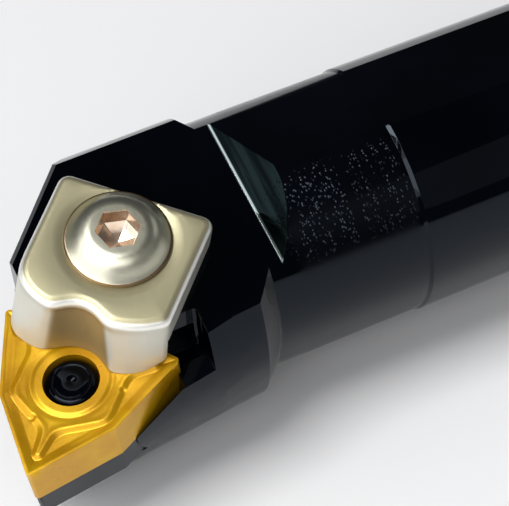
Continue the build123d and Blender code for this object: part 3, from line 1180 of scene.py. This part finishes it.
@dataclass
class ClampScrew:
    """Domed screw with a thin flange, a hexagon socket and a rolled thread."""

    frame: dict
    seat: Seat = Seat()
    lift: float = 3.01
    head_radius: float = 4.8
    flange: float = 0.4
    edge: float = 0.04
    undercut: float = 0.05
    dome_radius: float = 4.62
    dome_height: float = 2.02
    dome_steps: int = 14
    roundness: float = 0.8
    face_radius: float = 2.35
    key: float = 3.57
    key_depth: float = 1.7
    plain: float = 3.2
    shaft_radius: float = 2.42
    thread_root: float = 2.12
    pitch: float = 0.8
    turns: int = 15
    tip: float = 1.8
    length: float = 16.1
    steps: int = 144
    thread_steps: int = 36
    ridge: Triple = (0.1, 0.42, 0.48)

    def dome(self) -> list[Pair]:
        """Outline of the head from the socket's rim to the flange.

        Returns:
            Radii and heights.
        """
        rise, run = self.dome_height - self.flange, self.dome_radius - self.face_radius
        curve = []
        for i in range(self.dome_steps + 1):
            angle = math.pi / 2 * i / self.dome_steps
            fall = self.roundness * (1 - math.cos(angle)) + (1 - self.roundness) * math.sin(angle) ** 6
            curve.append((self.face_radius + run * i / self.dome_steps, self.dome_height - rise * fall))
        return curve

    def build(self) -> None:
        """Builds the head and the threaded shaft and dresses them."""
        piece = Piece(self.frame, Body.SCREW, Slot.SCREW)
        work = bmesh.new()
        ledge = self.flange - self.undercut
        outline = self.dome() + [
            (self.dome_radius - self.edge, self.flange - self.edge / 2),
            (self.dome_radius + self.edge / 2, ledge), (self.head_radius - 0.06, ledge),
            (self.head_radius, ledge - 0.07), (self.head_radius, self.edge),
            (self.head_radius - self.edge, 0.0), (self.shaft_radius, 0.0), (self.shaft_radius, -self.plain),
        ]
        spin_outline(work, outline, self.steps)
        self.socket(work)
        self.thread(work)
        bmesh.ops.recalc_face_normals(work, faces=work.faces)
        inside = self.key / 2 / math.cos(math.pi / 6) + 0.06
        for face in work.faces:
            middle = face.calc_center_median()
            # the socket takes a painted reflection: bright, copper-tinted walls
            in_socket = middle.xy.length < inside and -1 < middle.z < self.dome_height - 0.01
            # the flange's side and underside take painted shade
            under_flange = middle.xy.length > self.dome_radius and middle.z < self.flange
            face.material_index = 1 if in_socket else 2 if under_flange else 0
        bmesh.ops.transform(work, matrix=self.seat.placing(self.lift), verts=work.verts)
        polished = BareMetal("polished_steel", (0.8, 0.78, 0.63), (0.7, 0.68, 0.52), 0.34, 1.0)
        # painted reflection and light inside the socket
        socket_reflection = BareMetal("socket_painted_reflection", (0.95, 0.86, 0.74), (0.6, 0.42, 0.28), 0.16, 0.75)
        # painted shade under the head's flange, with a painted brassy reflection
        flange_shade = BareMetal("flange_painted_shade", (0.34, 0.24, 0.13), (0.16, 0.1, 0.05), 0.3, 1.0)
        finishes = [polished, socket_reflection, flange_shade]
        piece.finish("clamp_screw_body", work, finishes, ["clamp_screw"], crease=28.0, flat_faces=True)

    def key_reach(self, spot: Vector) -> float:
        """Distance from the axis to the hexagon's edge in a spot's direction."""
        turn = math.atan2(spot.y, spot.x) % (math.pi / 3) - math.pi / 6
        return self.key / 2 / math.cos(turn)

    def socket(self, work: bmesh.types.BMesh) -> None:
        """Draws the head's face in to a hexagon and sinks the socket from it.

        Args:
            work: The head's mesh.
        """
        top, rim = self.dome_height - 0.01, self.face_radius - 0.01
        edge = [
            e for e in work.edges
            if e.is_boundary and all(v.co.z > top and v.co.xy.length > rim for v in e.verts)
        ]
        for scale, depth in ((1.0, 0.0), (0.97, 0.09), (1.0, self.key_depth), (0.5, 0.45), (0.02, 0.25)):
            grown = bmesh.ops.extrude_edge_only(work, edges=edge)["geom"]
            dots = [g for g in grown if isinstance(g, bmesh.types.BMVert)]
            edge = [g for g in grown if isinstance(g, bmesh.types.BMEdge)]
            if depth == 0.0:
                for dot in dots:
                    dot.co.xy = dot.co.xy.normalized() * self.key_reach(dot.co)
            bmesh.ops.scale(work, verts=dots, vec=(scale, scale, 1))
            bmesh.ops.translate(work, verts=dots, vec=(0, 0, -depth))
        bmesh.ops.contextual_create(work, geom=edge)

    def thread(self, work: bmesh.types.BMesh) -> None:
        """Adds the thread as one winding ridge below the clamp, and the screw's tip.

        Args:
            work: The screw's mesh.
        """
        root, crest, start = self.thread_root, self.shaft_radius, -self.plain
        foot, rise, fall = self.ridge
        shape = [(root, 0.0), (root, foot), (crest, rise), (crest, fall), (root, self.pitch)]
        dots = [work.verts.new((radius, 0, start - self.pitch + height)) for radius, height in shape]
        lines = [work.edges.new(pair) for pair in zip(dots, dots[1:])]
        bmesh.ops.spin(
            work,
            geom=dots + lines,
            cent=(0, 0, 0),
            axis=(0, 0, 1),
            dvec=(0, 0, -self.pitch / self.thread_steps),
            angle=math.tau * self.turns,
            steps=self.thread_steps * self.turns,
        )
        wound = [v for v in work.verts if v.co.z < start - 0.01]
        bmesh.ops.remove_doubles(work, verts=wound, dist=1e-4)
        end = start - self.pitch * self.turns - self.pitch / 2
        spin_outline(work, [(root, end), (self.tip, -self.length), (0.0, -self.length)], self.thread_steps)


@dataclass
class LockPin:
    """Black pin whose dished head fills the insert's hole."""

    frame: dict
    insert: Insert
    steps: int = 96
    dish: tuple[Pair, ...] = (
        (0.0, -0.34), (0.1, -0.31), (0.18, -0.27), (0.24, -0.26), (1.52, -0.26), (1.57, -0.29), (1.62, -0.34),
    )
    rim: tuple[Pair, ...] = (
        (1.68, -0.3), (1.74, -0.28), (1.95, -0.28), (2.1, -0.33), (2.22, -0.43), (2.3, -0.58), (2.34, -0.8),
    )
    shaft: tuple[Pair, ...] = ((2.34, -7.9), (2.3, -8.0), (2.3, -13.0), (2.0, -13.3), (0.0, -13.3))

    def build(self) -> None:
        """Builds the pin and dresses it."""
        piece = Piece(self.frame, Body.BAR, Slot.PIN)
        work = bmesh.new()
        spin_outline(work, self.dish + self.rim + self.shaft, self.steps)
        bmesh.ops.transform(work, matrix=self.insert.placing(), verts=work.verts)
        finish = BlackedSteel(name="black_pin_steel", neck=(100.0, 200.0), wall_offset=500.0, shine=0.14)
        piece.finish("lock_pin_body", work, [finish], ["lock_pin"], crease=25.0, flat_faces=True)


@dataclass
class HiddenParts:
    """Shim under the insert and spring under the clamp."""

    frame: dict

    def build(self) -> None:
        """Dresses the shim and the spring."""
        wire = BareMetal("spring_wire", (0.5, 0.5, 0.5), (0.4, 0.4, 0.42), 0.3)
        carbide = BareMetal("bare_carbide", (0.05, 0.053, 0.06), (0.035, 0.037, 0.042), 0.35)
        for node, slot, finish in (("shim", Slot.SHIM, carbide), ("clamp_spring", Slot.SPRING, wire)):
            piece = Piece(self.frame, Body.BAR, slot)
            piece.finish(f"{node}_skin", piece.copy_node(node), [finish], [node])


@dataclass(frozen=True)
class SoftBox:
    """A rectangular lamp, placed round the head by its bearing and height."""

    name: str
    azimuth: float
    elevation: float
    distance: float
    size: Pair
    brightness: float
    target: Triple = (-0.187, -0.005, 0.004)

    def hang(self) -> None:
        """Hangs the lamp so that it faces the head."""
        light = bpy.data.lights.new(self.name, "AREA")
        light.shape = "RECTANGLE"
        light.size, light.size_y = self.size
        light.energy = self.brightness * math.pi * self.size[0] * self.size[1]
        made = bpy.data.objects.new(self.name, light)
        turn, rise = math.radians(self.azimuth), math.radians(self.elevation)
        away = Vector((math.cos(rise) * math.cos(turn), math.cos(rise) * math.sin(turn), math.sin(rise)))
        made.location = Vector(self.target) + away * self.distance
        made.rotation_euler = (-away).to_track_quat("-Z", "Y").to_euler()
        bpy.context.scene.collection.objects.link(made)


@dataclass
class Studio:
    """Floor, lamps, room and camera."""

    floor_level: float = -15.4 * MM
    image_width: int = 509
    focal_pixels: float = 1916.37
    sensor: float = 36.0
    clip: Pair = (0.01, 20.0)
    eye: Triple = (-0.219507, -0.125413, 0.125423)
    right: Triple = (0.8984243, -0.4319793, -0.0789157)
    up: Triple = (0.3505628, 0.5973206, 0.7213279)
    back: Triple = (-0.2644607, -0.6757234, 0.6880832)
    dim: Colour = (0.05, 0.052, 0.06)
    pale: Colour = (0.87, 0.87, 0.87)
    boxes: tuple[SoftBox, ...] = (
        SoftBox("left_softbox", 195.0, 30.0, 0.9, (1.4, 0.9), 1.7),
        SoftBox("top_softbox", 195.0, 73.0, 0.9, (0.5, 0.4), 8.5),
        SoftBox("front_softbox", 253.0, 38.0, 1.0, (0.8, 0.6), 1.5),
        SoftBox("right_softbox", 5.0, 24.0, 1.2, (0.6, 0.4), 0.5),
        SoftBox("fill_softbox", 312.0, 26.0, 1.1, (0.8, 0.6), 0.16),
    )

    def build(self) -> None:
        """Sets up everything that isn't part of the bar."""
        self.floor()
        self.room()
        for box in self.boxes:
            box.hang()
        self.camera()

    def floor(self) -> None:
        """Lays the pale floor."""
        work = bmesh.new()
        bmesh.ops.create_grid(work, x_segments=8, y_segments=8, size=6.0)
        bmesh.ops.translate(work, verts=work.verts, vec=(0, 0, self.floor_level))
        mesh = bpy.data.meshes.new("floor")
        work.to_mesh(mesh)
        work.free()
        mesh.materials.append(PaleGround().material())
        ground = bpy.data.objects.new("floor", mesh)
        bpy.context.scene.collection.objects.link(ground)

    def room(self) -> None:
        """Sets the dim room round the table; the camera sees it pale."""
        world = bpy.data.worlds.new("room")
        world.use_nodes = True
        bpy.context.scene.world = world
        recipe = Recipe(world.node_tree)
        to_camera = recipe.node("ShaderNodeLightPath", output="Is Camera Ray")
        tone = recipe.blend(to_camera, self.dim, self.pale)
        surface = recipe.node("ShaderNodeBackground", None, {"Color": tone, "Strength": 1.0})
        recipe.node("ShaderNodeOutputWorld", None, {"Surface": surface})

    def camera(self) -> None:
        """Sets the camera at the photograph's viewing angle."""
        lens = bpy.data.cameras.new("view")
        lens.sensor_width = self.sensor
        lens.lens = self.focal_pixels / self.image_width * self.sensor
        lens.clip_start, lens.clip_end = self.clip
        made = bpy.data.objects.new("view", lens)
        turn = Matrix((self.right, self.up, self.back)).transposed().to_4x4()
        made.matrix_world = Matrix.Translation(self.eye) @ turn
        bpy.context.scene.collection.objects.link(made)
        bpy.context.scene.camera = made


def main() -> None:
    """Builds the dressed boring bar in its studio."""
    logging.basicConfig(level=logging.INFO, format="%(name)s %(message)s")
    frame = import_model()
    bpy.context.scene.view_settings.view_transform = "Standard"
    insert = Insert(frame)
    parts = [Bar(frame), insert, Clamp(frame, insert), ClampScrew(frame), LockPin(frame, insert)]
    for part in (*parts, HiddenParts(frame), Studio()):
        part.build()
        LOG.info("%s done", type(part).__name__)
    bpy.context.view_layer.update()


if __name__ == "__main__":
    main()
